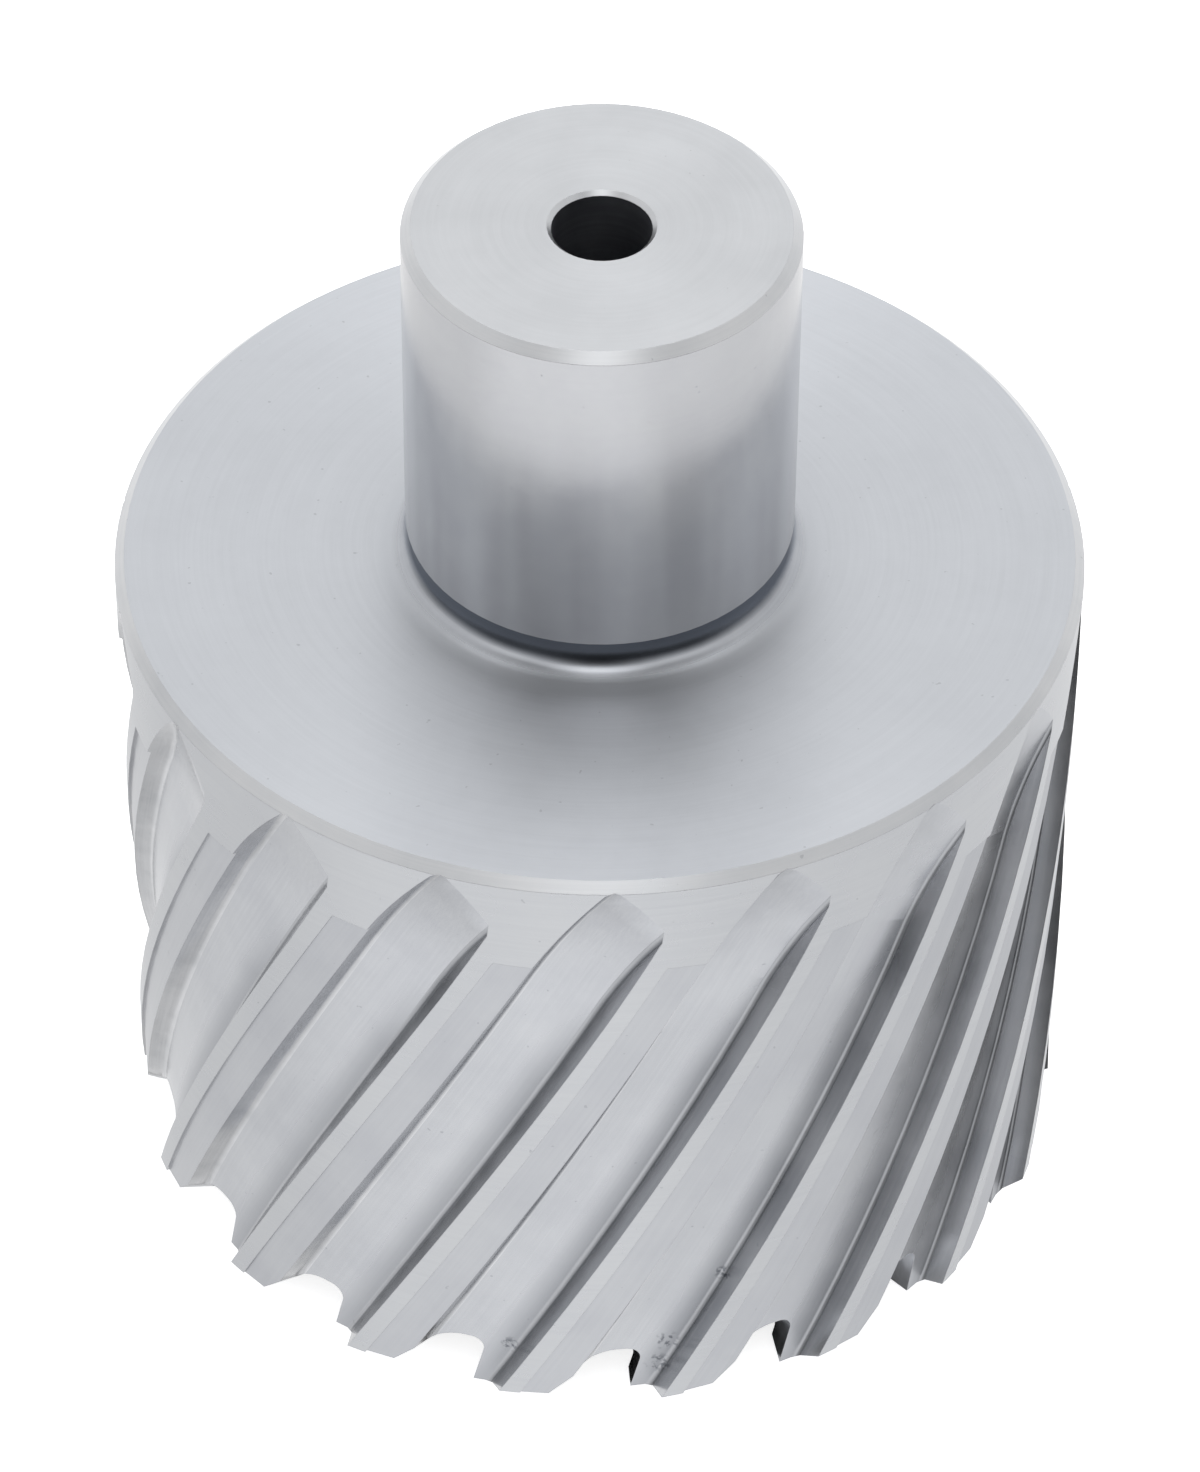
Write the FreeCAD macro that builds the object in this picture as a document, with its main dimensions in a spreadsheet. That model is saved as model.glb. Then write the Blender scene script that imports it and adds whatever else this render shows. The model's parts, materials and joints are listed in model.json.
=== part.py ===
"""Annular cutter for magnetic-base drills: 3-1/8 in cut, 2 in depth of cut, 1-1/4 in plain shank.

One piece of ground high-speed steel. The cutting ring points down and the shank up, and the
cutter stands on its tooth tips. Z is the cutter's axis, z = 0 is the plane of the lowest tips.
Lengths are millimetres, angles are degrees.
"""
import FreeCAD, Part
import math
import os
import Sketcher
from FreeCAD import Vector

os.makedirs("parts", exist_ok=True)
doc = FreeCAD.newDocument("annular_cutter")

# Driving dimensions, each with its own name.
DIMENSIONS = {
    # turned blank
    "cut_diameter": 79.375,        # cutting diameter, 3-1/8 in
    "wall_thickness": 4.0,         # width of the ring the teeth cut
    "body_height": 62.2,           # tooth tips to shoulder
    "cavity_depth": 54.0,          # room for the slug, a little over the 2 in depth of cut
    "cavity_chamfer": 1.5,
    "shoulder_chamfer": 0.8,
    "shank_diameter": 31.75,       # 1-1/4 in
    "shank_length": 33.8,          # shoulder to the end of the shank
    "shank_chamfer": 0.8,
    "neck_diameter": 30.4,
    "neck_length": 3.5,
    "neck_fillet": 3.1,
    "pilot_diameter": 8.0,         # for an 8 mm pilot pin
    "pilot_chamfer": 0.36,
    # helical flutes
    "tooth_count": 18,
    "helix_lead": 500.0,           # one turn of the flute in 500 mm, right hand
    "flute_width": 8.04,           # between the flute's two edges, square across it
    "flute_depth": 1.88,           # at the middle of its flat floor
    "flute_exit": 13.0,            # below the shoulder, where the wheel starts to lift out
    "wheel_radius": 45.0,          # grinding wheel that leaves the run-out at the flute's top
    "wheel_tilt": 22.0,            # it lifts out leaning towards the rake wall
    "rake_lean": 22.0,             # rake wall away from the radius
    "strip_width": 0.6,            # narrow flat between the rake wall and the floor
    "strip_slope": 27.0,
    "heel_lean": 28.0,             # back wall of the tooth ahead, away from the radius
    "heel_strip_width": 0.6,       # the same at the foot of the back wall
    "heel_strip_slope": 31.0,
    # relief ground on each land behind a full-diameter margin
    "margin_width": 1.7,
    "relief_depth": 0.25,
    "relief_top": 9.4,             # below the shoulder
    # gullets through the wall between the teeth
    "web_lead": 2.1,               # inner cutting edge ahead of the outer one
    "gullet_height": 5.4,          # at the flute floor
    "gullet_rake": 13.0,
    "gullet_corner": 1.1,
    "gullet_flat": 0.5,
    "gullet_crown": 4.2,
    "gullet_flank": 47.0,
    "gullet_rise": 40.0,           # crown climbs outward, which sends the chips into the flute
    # faces ground on the tooth tips, flat and pointed teeth taking turns
    "tip_ridge": 1.8,              # the inner cutting edge and the pointed tips, in from the outside
    "tip_clearance": 7.0,
    "flat_tip_step": 0.6,          # flat teeth sit this much behind the pointed ones
    "outer_bevel": 27.0,
    "inner_bevel": 28.0,
    "tip_face_length": 9.0,
    # cuts run this far past the surfaces that they open
    "overrun": 1.5,
    # where the first flat tooth stands, from the front towards the right
    "front_tip_azimuth": 8.0,
}

dims = doc.addObject("Spreadsheet::Sheet", "dims")
for row, (alias, value) in enumerate(DIMENSIONS.items(), start=1):
    dims.set(f"A{row}", alias)
    dims.set(f"B{row}", str(value))
    dims.setAlias(f"B{row}", alias)
doc.recompute()

# Sizes worked out from the driving ones.
CUT_R = "dims.cut_diameter / 2"
CAVITY_R = f"({CUT_R} - dims.wall_thickness)"
FLOOR_R = f"({CUT_R} - dims.flute_depth)"
RIDGE_R = f"({CUT_R} - dims.tip_ridge)"
SHANK_R = "dims.shank_diameter / 2"
NECK_R = "dims.neck_diameter / 2"
PILOT_R = "dims.pilot_diameter / 2"
TOP = "(dims.body_height + dims.shank_length)"
HELIX_ANGLE = f"atan(pi * dims.cut_diameter / dims.helix_lead)"
TURN_PER_MM = "(360 deg / dims.helix_lead)"
# The flute's section stands square to the flute, where the grinding wheel starts to lift.
SECTION_Z = "(dims.body_height - dims.flute_exit)"
HALF_WIDTH = "dims.flute_width / 2"
EDGE_X = f"sqrt(({CUT_R})^2 - ({HALF_WIDTH} * cos({HELIX_ANGLE}))^2)"
# Azimuth of an edge of the flute, counted from the flute's centre line at the same height.
HALF_OPENING = (f"(atan({HALF_WIDTH} * cos({HELIX_ANGLE}) / {EDGE_X})"
                f" + {TURN_PER_MM} * {HALF_WIDTH} * sin({HELIX_ANGLE}))")
# Azimuth of the outer and inner cutting edges at the plane of the tips.
RAKE_AZIMUTH = f"({HALF_OPENING} - {TURN_PER_MM} * {SECTION_Z})"
WEB_AZIMUTH = f"({RAKE_AZIMUTH} - 180 deg * dims.web_lead / (pi * {RIDGE_R}))"

body = doc.addObject("PartDesign::Body", "annular_cutter")
body.Label = "annular_cutter"
doc.recompute()


def origin(role):
    """Plane or axis of the body's own origin."""
    return next(f for f in body.Origin.OriginFeatures if f.Role == role)


def add_sketch(name, plane, offset=None):
    """Sketch on one of the origin's planes, moved from it by a placement expression."""
    sketch = body.newObject("Sketcher::SketchObject", name)
    sketch.AttachmentSupport = (origin(plane), [""])
    sketch.MapMode = "FlatFace"
    if offset:
        sketch.setExpression("AttachmentOffset", offset)
    doc.recompute()
    return sketch


def size(sketch, expression):
    """Value of an expression in millimetres or degrees, used to draw the first outline."""
    value = sketch.evalExpression(expression)
    return getattr(value, "Value", value)


def unit(degrees):
    """Unit vector in a sketch's own plane."""
    return Vector(math.cos(math.radians(degrees)), math.sin(math.radians(degrees)), 0)


def arc_about(centre, radius, start, end):
    """Arc of a circle between two directions in degrees."""
    circle = Part.Circle(centre, Vector(0, 0, 1), radius)
    return Part.ArcOfCircle(circle, math.radians(start), math.radians(end))


def join(sketch, kind, *refs):
    """Geometric constraint without a size."""
    sketch.addConstraint(Sketcher.Constraint(kind, *refs))


def bind(sketch, kind, refs, expression):
    """Dimension of the sketch, driven by an expression."""
    value = size(sketch, expression)
    if kind == "Angle":
        value = math.radians(value)
    index = sketch.addConstraint(Sketcher.Constraint(kind, *refs, value))
    sketch.setExpression(f"Constraints[{index}]", expression)


def at_point(sketch, curve, end, x, y):
    """Holds one point of a curve at (x, y) from the sketch's origin."""
    bind(sketch, "DistanceX", (-1, 1, curve, end), x)
    bind(sketch, "DistanceY", (-1, 1, curve, end), y)


def closed_outline(sketch, corners):
    """Closed outline through corners given as (x, y) or (x, y, radius, centre x, centre y).

    A radius turns the stretch that ends at that corner into an arc.
    """
    points = [Vector(size(sketch, c[0]), size(sketch, c[1]), 0) for c in corners]
    last = len(corners) - 1
    curves, ends = [], []
    for i, corner in enumerate(corners):
        start, end = points[i - 1], points[i]
        if len(corner) == 2:
            curves.append(sketch.addGeometry(Part.LineSegment(start, end), False))
            ends.append((1, 2))
            continue
        centre = Vector(size(sketch, corner[3]), size(sketch, corner[4]), 0)
        circle = Part.Circle(centre, Vector(0, 0, 1), (start - centre).Length)
        first, final = (math.atan2(p.y - centre.y, p.x - centre.x) for p in (start, end))
        forward = (final - first) % (2 * math.pi) < math.pi
        angles = (first, final) if forward else (final, first)
        curves.append(sketch.addGeometry(Part.ArcOfCircle(circle, *angles), False))
        ends.append((1, 2) if forward else (2, 1))
    for i in range(len(corners)):
        j = 0 if i == last else i + 1
        sketch.addConstraint(Sketcher.Constraint("Coincident", curves[i], ends[i][1], curves[j], ends[j][0]))
    for i, corner in enumerate(corners):
        at_point(sketch, curves[i], ends[i][1], corner[0], corner[1])
        if len(corner) == 5:
            bind(sketch, "Radius", (curves[i],), corner[2])
    doc.recompute()


def volume():
    """Volume of the body as it stands."""
    doc.recompute()
    return body.Shape.Volume


def check_cut(name, before):
    """Stops the build if a cut has taken nothing away."""
    after = volume()
    print(f"{name}: removes {before - after:.1f} mm3")
    if before - after < 0.5:
        raise RuntimeError(f"{name} cuts nothing")
    return after


def pattern(name, originals, count):
    """Repeats features round the cutter's axis."""
    polar = body.newObject("PartDesign::PolarPattern", name)
    polar.Originals = originals
    polar.Axis = (origin("Z_Axis"), [""])
    polar.Angle = 360
    polar.setExpression("Occurrences", count)
    body.Tip = polar
    return polar


def turned_blank():
    """Shank, neck, shoulder, body and cavity as one turned profile."""
    profile = add_sketch("blank_profile", "XZ_Plane")
    h = "dims.body_height"
    fillet = ("dims.neck_fillet", f"{NECK_R} + dims.neck_fillet", f"{h} + dims.neck_fillet")
    closed_outline(profile, [
        (CAVITY_R, "0"),
        (CUT_R, "0"),
        (CUT_R, f"{h} - dims.shoulder_chamfer"),
        (f"{CUT_R} - dims.shoulder_chamfer", h),
        (f"{NECK_R} + dims.neck_fillet", h),
        (f"{NECK_R} + dims.neck_fillet * (1 - sin(45 deg))", f"{h} + dims.neck_fillet * (1 - cos(45 deg))",
         *fillet),
        (NECK_R, f"{h} + dims.neck_fillet", *fillet),
        (NECK_R, f"{h} + dims.neck_length"),
        (SHANK_R, f"{h} + dims.neck_length"),
        (SHANK_R, f"{TOP} - dims.shank_chamfer"),
        (f"{SHANK_R} - dims.shank_chamfer", TOP),
        (f"{PILOT_R} + dims.pilot_chamfer", TOP),
        (PILOT_R, f"{TOP} - dims.pilot_chamfer"),
        (PILOT_R, "dims.cavity_depth"),
        (f"{CAVITY_R} - dims.cavity_chamfer", "dims.cavity_depth"),
        (CAVITY_R, "dims.cavity_depth - dims.cavity_chamfer"),
    ])
    blank = body.newObject("PartDesign::Revolution", "blank")
    blank.Profile = profile
    blank.ReferenceAxis = (profile, ["V_Axis"])
    blank.Angle = 360
    return blank


def land_relief():
    """Shallow helical band ground behind each margin, from its flat top end past the tips."""
    top = "(dims.body_height - dims.relief_top)"
    path = doc.addObject("Part::Helix", "relief_path")
    path.setExpression("Pitch", "dims.helix_lead")
    path.setExpression("Radius", CUT_R)
    path.setExpression("Height", f"{top} + 2 * dims.overrun")
    path.setExpression("Placement.Base.z", "-2 * dims.overrun")
    doc.recompute()
    section = add_sketch("relief_section", "XY_Plane", f"placement(vector(0; 0; {top}); rotation(0; 0; 0))")
    # The rake edge and the next flute's back edge, both at the height of the relief's top end.
    climb = f"{TURN_PER_MM} * ({top} - {SECTION_Z})"
    start = f"({HALF_OPENING} + {climb} + 360 deg * dims.margin_width / (pi * dims.cut_diameter))"
    end = f"(360 deg / dims.tooth_count - {HALF_OPENING} + {climb} + 1 deg)"
    inner, outer = f"({CUT_R} - dims.relief_depth)", f"({CUT_R} + dims.overrun)"
    closed_outline(section, [
        (f"{inner} * cos({start})", f"{inner} * sin({start})"),
        (f"{outer} * cos({start})", f"{outer} * sin({start})"),
        (f"{outer} * cos({end})", f"{outer} * sin({end})"),
        (f"{inner} * cos({end})", f"{inner} * sin({end})"),
    ])
    relief = body.newObject("PartDesign::SubtractivePipe", "land_relief")
    relief.Profile = section
    relief.Spine = (path, ["Edge1"])
    relief.Mode = "Frenet"
    return relief


def flute_section():
    """Section of a flute, square to the flute: x points outward, y towards the rake edge."""
    section = add_sketch(
        "flute_section", "XY_Plane",
        f"placement(vector(0; 0; {SECTION_Z}); rotation(vector(1; 0; 0); -{HELIX_ANGLE}))")
    depth, rake_lean, strip_width, strip_slope, heel_lean, heel_width, heel_slope, wheel_radius, wheel_tilt = (
        size(section, f"dims.{name}") for name in (
            "flute_depth", "rake_lean", "strip_width", "strip_slope", "heel_lean", "heel_strip_width",
            "heel_strip_slope", "wheel_radius", "wheel_tilt"))
    floor_x, edge_x, half_width = (size(section, e) for e in (FLOOR_R, EDGE_X, HALF_WIDTH))
    # Each wall passes through its edge on the cutting diameter, and a narrow strip leads on to the floor.
    rake_edge, heel_edge = Vector(edge_x, half_width, 0), Vector(edge_x, -half_width, 0)
    out_rake, out_heel = unit(rake_lean), unit(-heel_lean)
    strip_run, heel_run = unit(-90 - strip_slope) * strip_width, unit(90 + heel_slope) * heel_width
    strip_end, heel_end = (
        edge + run + out * ((floor_x - edge.x - run.x) / out.x)
        for edge, run, out in ((rake_edge, strip_run, out_rake), (heel_edge, heel_run, out_heel)))
    wheel_centre = strip_end + unit(wheel_tilt) * wheel_radius

    line = lambda start, end: section.addGeometry(Part.LineSegment(start, end), False)
    rake = line(rake_edge + out_rake * depth, strip_end - strip_run)
    strip = line(strip_end - strip_run, strip_end)
    floor = line(strip_end, heel_end)
    heel_strip = line(heel_end, heel_end - heel_run)
    heel = line(heel_end - heel_run, heel_edge + out_heel * depth)
    lid = line(heel_edge + out_heel * depth, rake_edge + out_rake * depth)
    axle, arm = (section.addGeometry(Part.LineSegment(*points), True) for points in (
        (wheel_centre, wheel_centre + unit(wheel_tilt - 90) * 10), (strip_end, wheel_centre)))
    rake_mark, heel_mark = (section.addGeometry(Part.Point(p), True) for p in (rake_edge, heel_edge))

    outline = (rake, strip, floor, heel_strip, heel, lid)
    for first, second in zip(outline, outline[1:] + outline[:1]):
        join(section, "Coincident", first, 2, second, 1)
    for mark, wall, y in ((rake_mark, rake, HALF_WIDTH), (heel_mark, heel, f"-{HALF_WIDTH}")):
        at_point(section, mark, 1, EDGE_X, y)
        join(section, "PointOnObject", mark, 1, wall)
    bind(section, "Angle", (rake,), "dims.rake_lean * 1 deg - 180 deg")
    bind(section, "Angle", (heel,), "-dims.heel_lean * 1 deg")
    for wall, end in ((rake, 1), (heel, 2)):
        bind(section, "DistanceX", (-1, 1, wall, end), f"{CUT_R} + dims.overrun")
    bind(section, "Angle", (strip,), "-90 deg - dims.strip_slope * 1 deg")
    bind(section, "Distance", (strip,), "dims.strip_width")
    bind(section, "Angle", (heel_strip,), "-90 deg + dims.heel_strip_slope * 1 deg")
    bind(section, "Distance", (heel_strip,), "dims.heel_strip_width")
    join(section, "Vertical", floor)
    bind(section, "DistanceX", (-1, 1, floor, 1), FLOOR_R)
    # The wheel reaches the floor at the strip, and its axle is square to the arm that holds it there.
    join(section, "Coincident", arm, 1, strip, 2)
    join(section, "Coincident", arm, 2, axle, 1)
    join(section, "Perpendicular", arm, axle)
    bind(section, "Angle", (arm,), "dims.wheel_tilt * 1 deg")
    bind(section, "Distance", (arm,), "dims.wheel_radius")
    bind(section, "Distance", (axle,), "10")
    doc.recompute()
    return section


def flute(section):
    """Helical flute from the section down past the tips."""
    helix = body.newObject("PartDesign::SubtractiveHelix", "flute")
    helix.Profile = section
    helix.ReferenceAxis = (origin("Z_Axis"), [""])
    helix.Mode = 0
    helix.setExpression("Pitch", "dims.helix_lead")
    helix.setExpression("Height", f"{SECTION_Z} + 3 * dims.overrun")
    helix.LeftHanded = False
    helix.Reversed = True
    return helix


def flute_run_out(section):
    """What the wheel leaves as it lifts out at the flute's top: the section turned about its axle."""
    run_out = body.newObject("PartDesign::Groove", "flute_run_out")
    run_out.Profile = section
    run_out.ReferenceAxis = (section, ["Axis0"])
    run_out.Angle = 30
    run_out.Reversed = True
    return run_out


def gullet():
    """Notch through the wall ahead of a tooth, its crown climbing outward."""
    section = add_sketch(
        "gullet_section", "YZ_Plane",
        f"placement({RIDGE_R} * vector(sin({WEB_AZIMUTH}); 0; cos({WEB_AZIMUTH}));"
        f" rotation(vector(0; 1; 0); {WEB_AZIMUTH}))")
    height, corner, flat_length, crown, rake_angle, flank_angle, low = (
        size(section, f"dims.{name}") for name in (
            "gullet_height", "gullet_corner", "gullet_flat", "gullet_crown", "gullet_rake", "gullet_flank",
            "overrun"))
    up_rake, down_flank, off_rake = unit(90 - rake_angle), unit(180 + flank_angle), unit(-rake_angle)
    corner_centre = up_rake * ((height - corner) / up_rake.y) - Vector(corner / off_rake.x, 0, 0)
    crown_centre = Vector(corner_centre.x - flat_length, height - crown, 0)
    flank_top = crown_centre + unit(90 + flank_angle) * crown
    flank_low = flank_top - down_flank * ((low + flank_top.y) / down_flank.y)
    rake_low = up_rake * (-low / up_rake.y)

    line = lambda start, end: section.addGeometry(Part.LineSegment(start, end), False)
    rake = line(rake_low, corner_centre + off_rake * corner)
    turn = section.addGeometry(arc_about(corner_centre, corner, -rake_angle, 90), False)
    flat = line(corner_centre + Vector(0, corner, 0), crown_centre + Vector(0, crown, 0))
    arch = section.addGeometry(arc_about(crown_centre, crown, 90, 90 + flank_angle), False)
    flank = line(flank_top, flank_low)
    lid = line(flank_low, rake_low)

    join(section, "Tangent", rake, 2, turn, 1)
    join(section, "Tangent", turn, 2, flat, 1)
    join(section, "Tangent", flat, 2, arch, 1)
    join(section, "Tangent", arch, 2, flank, 1)
    join(section, "Coincident", flank, 2, lid, 1)
    join(section, "Coincident", lid, 2, rake, 1)
    join(section, "Horizontal", flat)
    join(section, "Horizontal", lid)
    # The inner cutting edge stands at the sketch's origin.
    join(section, "PointOnObject", -1, 1, rake)
    bind(section, "Angle", (rake,), "90 deg - dims.gullet_rake * 1 deg")
    bind(section, "DistanceY", (-1, 1, flat, 1), "dims.gullet_height")
    bind(section, "Distance", (flat,), "dims.gullet_flat")
    bind(section, "Radius", (turn,), "dims.gullet_corner")
    bind(section, "Radius", (arch,), "dims.gullet_crown")
    bind(section, "Angle", (flank,), "dims.gullet_flank * 1 deg - 180 deg")
    bind(section, "DistanceY", (-1, 1, lid, 1), "-dims.overrun")
    doc.recompute()

    notch = body.newObject("PartDesign::Pocket", "gullet")
    notch.Profile = section
    notch.UseCustomVector = True
    # Outward and up, kept in the plane of the rake face.
    climb = "tan(dims.gullet_rise * 1 deg)"
    sideways = f"({climb} * tan(dims.gullet_rake * 1 deg))"
    notch.setExpression("Direction.x", f"cos({WEB_AZIMUTH}) - {sideways} * sin({WEB_AZIMUTH})")
    notch.setExpression("Direction.y", f"sin({WEB_AZIMUTH}) + {sideways} * cos({WEB_AZIMUTH})")
    notch.setExpression("Direction.z", climb)
    notch.Type = 0
    notch.Midplane = True
    notch.setExpression("Length", "3 * dims.wall_thickness")
    return notch


def tip_face(name, tooth, corners):
    """Face ground on one tooth's tip, rising behind the cutting edge by the clearance angle."""
    azimuth = f"({WEB_AZIMUTH} + {tooth} * 360 deg / dims.tooth_count)"
    section = add_sketch(
        f"{name}_section", "XZ_Plane",
        f"placement(vector(0; 0; 0); rotation(vector(0; 1; 0); {azimuth})"
        f" * rotation(vector(1; 0; 0); dims.tip_clearance * 1 deg))")
    closed_outline(section, corners)
    face = body.newObject("PartDesign::Pocket", name)
    face.Profile = section
    face.Type = 0
    face.setExpression("Length", "dims.tip_face_length")
    return face


turned_blank()
solid = volume()
print(f"blank: {solid:.1f} mm3")

TEETH = "dims.tooth_count"
relief = land_relief()
relieved = check_cut("land_relief", solid)
pattern("land_reliefs", [relief], TEETH)
relieved = check_cut("land_reliefs", relieved)

section = flute_section()
helix = flute(section)
fluted = check_cut("flute", relieved)
pattern("flutes", [helix], TEETH)
fluted = check_cut("flutes", fluted)
run_out = flute_run_out(section)
lifted = check_cut("flute_run_out", fluted)
pattern("flute_run_outs", [run_out], TEETH)
lifted = check_cut("flute_run_outs", lifted)

notch = gullet()
notched = check_cut("gullet", lifted)
pattern("gullets", [notch], TEETH)
notched = check_cut("gullets", notched)

INNER = f"({CAVITY_R} - dims.overrun)"
OUTER = f"({CUT_R} + dims.overrun)"
LOW = "-dims.overrun"
flat_face = tip_face("flat_tip", 0, [
    (INNER, LOW), (OUTER, LOW), (OUTER, "dims.flat_tip_step"), (INNER, "dims.flat_tip_step")])
faced = check_cut("flat_tip", notched)
pointed_face = tip_face("pointed_tip", 1, [
    (INNER, LOW), (OUTER, LOW),
    (OUTER, f"({OUTER} - {RIDGE_R}) * tan(dims.outer_bevel * 1 deg)"),
    (RIDGE_R, "0"),
    (INNER, f"({RIDGE_R} - {INNER}) * tan(dims.inner_bevel * 1 deg)")])
faced = check_cut("pointed_tip", faced)
pattern("tips", [flat_face, pointed_face], f"{TEETH} / 2")
check_cut("tips", faced)

# Turned so that a flat tooth's outer tip stands at its place on the front.
body.setExpression(
    "Placement",
    f"placement(vector(0; 0; 0); rotation(vector(0; 0; 1); dims.front_tip_azimuth * 1 deg - 90 deg"
    f" - {RAKE_AZIMUTH} - {TURN_PER_MM} * dims.flat_tip_step))")
doc.recompute()

for obj in doc.Objects:
    if any(word in obj.State for word in ("Invalid", "Error")):
        raise RuntimeError(f"{obj.Name}: {obj.State}")
shape = body.Shape
if shape.isNull() or not shape.isValid() or len(shape.Solids) != 1:
    raise RuntimeError("annular_cutter isn't one valid solid")
print("annular_cutter:", len(shape.Faces), "faces,", round(shape.Volume, 1), "mm3,", shape.BoundBox)
shape.exportStep("parts/annular_cutter.step")
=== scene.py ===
# %% [markdown]
# # An annular cutter in ground high-speed steel
#
# An annular cutter drills a large hole by cutting only a ring. It is ground from one piece of
# steel: a plain shank, a necked shoulder, and a hollow body with eighteen helical flutes that end
# in teeth. The solid comes ready made from CAD, so this lesson is about what the grinding wheel
# and the lathe leave on the steel, and about the light that shows it.

# %% The frame
import json
import math

import bmesh
import bpy
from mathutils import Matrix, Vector

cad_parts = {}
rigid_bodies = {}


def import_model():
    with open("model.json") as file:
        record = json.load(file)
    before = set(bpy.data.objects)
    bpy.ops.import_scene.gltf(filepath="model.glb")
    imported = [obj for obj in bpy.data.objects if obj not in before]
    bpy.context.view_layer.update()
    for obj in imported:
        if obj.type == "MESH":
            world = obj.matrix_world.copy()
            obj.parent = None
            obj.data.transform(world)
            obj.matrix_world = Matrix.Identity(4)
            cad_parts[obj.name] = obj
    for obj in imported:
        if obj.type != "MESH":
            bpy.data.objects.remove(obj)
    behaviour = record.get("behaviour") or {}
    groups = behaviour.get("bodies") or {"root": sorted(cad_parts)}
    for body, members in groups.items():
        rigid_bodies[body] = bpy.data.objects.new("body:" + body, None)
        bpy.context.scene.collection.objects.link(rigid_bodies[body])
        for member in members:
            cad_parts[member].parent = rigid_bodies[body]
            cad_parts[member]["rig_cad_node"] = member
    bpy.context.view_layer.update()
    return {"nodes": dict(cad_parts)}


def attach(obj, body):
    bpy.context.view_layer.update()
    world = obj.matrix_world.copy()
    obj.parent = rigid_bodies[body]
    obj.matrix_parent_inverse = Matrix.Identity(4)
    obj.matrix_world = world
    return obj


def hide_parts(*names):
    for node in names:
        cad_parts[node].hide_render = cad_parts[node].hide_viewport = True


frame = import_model()
node = frame["nodes"]["annular_cutter"]

# %% [markdown]
# ## Sizes and colours
#
# Everything is in metres, so a length in millimetres goes through one factor. Colours are written
# as the eye sees them, in sRGB, and one function turns them into the linear light that shaders use.

# %% Units and colour
MM = 0.001


def linear(hex_colour):
    """An sRGB colour such as '#c8ccd0' as linear red, green, blue and alpha."""
    channels = [int(hex_colour[i:i + 2], 16) / 255 for i in (1, 3, 5)]
    return [c / 12.92 if c <= 0.04045 else ((c + 0.055) / 1.055) ** 2.4 for c in channels] + [1.0]


print("middle grey:", [round(channel, 3) for channel in linear("#808080")])

# %% [markdown]
# ## The camera
#
# The photo looks down at 44 degrees through a long lens, from a little over half a metre. A long
# lens keeps the flutes nearly parallel. The picture is turned a third of a degree, and its centre
# lies a hair to the left of the frame's. These numbers come from fitting the cutter's outlines to
# the photo, which is surer than turning the camera by hand.

# %% Camera
PICTURE = (1200, 1472)
FOCAL_PIXELS = 6948.7
AIM = Vector((0, 0, 40.12 * MM))
DISTANCE = 583.9 * MM
ELEVATION = math.radians(44.1774)
ROLL = 0.0067
CENTRE_OFFSET_PIXELS = 1.516

bpy.ops.object.camera_add(
    location=AIM + DISTANCE * Vector((0, -math.cos(ELEVATION), math.sin(ELEVATION))),
    rotation=(math.pi / 2 - ELEVATION, 0, 0))
camera = bpy.context.object
camera.rotation_euler.rotate_axis("Z", ROLL)
camera.data.sensor_width = 36
camera.data.lens = 36 * FOCAL_PIXELS / max(PICTURE)
camera.data.shift_x = CENTRE_OFFSET_PIXELS / max(PICTURE)
bpy.context.scene.camera = camera
print("lens:", round(camera.data.lens, 1), "mm")

# %% [markdown]
# ## The skin of the cutter
#
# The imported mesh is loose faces, each shaded by itself. A copy with its corners merged shades
# smoothly across faces that meet softly, such as the neck's hollow and the run-out of a flute, and
# stays crisp at every ground edge. Remodelling it would only lose the exact shape that CAD gives.

# %% A merged copy
MERGE = 0.002 * MM
CREASE = math.radians(25)

bpy.ops.object.select_all(action="DESELECT")
node.select_set(True)
bpy.context.view_layer.objects.active = node
bpy.ops.object.duplicate()
cutter = bpy.context.object
cutter.name = "ground_cutter"
del cutter["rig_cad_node"]
bpy.ops.mesh.customdata_custom_splitnormals_clear()
bpy.ops.object.mode_set(mode="EDIT")
bpy.ops.mesh.select_all(action="SELECT")
bpy.ops.mesh.remove_doubles(threshold=MERGE)
bpy.ops.object.mode_set(mode="OBJECT")
bpy.ops.object.shade_smooth_by_angle(angle=CREASE)
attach(cutter, "root")
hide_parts("annular_cutter")
print("merged corners:", len(cutter.data.vertices), "of", len(node.data.vertices))

# %% [markdown]
# ## Node helpers
#
# Every finish below is a few shader nodes. One small function adds a node, sets what it is given
# and links its inputs, and another does the last part for a node that is already there.


# %% Node helpers
def fill(material, made, **inputs):
    """Sets inputs, called by name or as _0, _1 by place, to values or to other nodes' outputs."""
    for name, value in inputs.items():
        socket = made.inputs[int(name[1:]) if name[1:].isdigit() else name.replace("_", " ")]
        if isinstance(value, bpy.types.NodeSocket):
            material.node_tree.links.new(value, socket)
        else:
            socket.default_value = value
    return made


def add(material, kind, settings=None, **inputs):
    """Adds a node with its settings and inputs."""
    made = material.node_tree.nodes.new(kind)
    for name, value in (settings or {}).items():
        setattr(made, name, value)
    return fill(material, made, **inputs)


# %% [markdown]
# ## Which tool cut each face
#
# The cutter is one piece, but each of its faces was finished in its own way, and the light shows
# which. The faces could be picked by hand, but there are thousands. Their place and direction
# tell them apart instead: the distance from the axis and the height in millimetres, and how far a
# face looks outward, round the axis and up.

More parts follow.
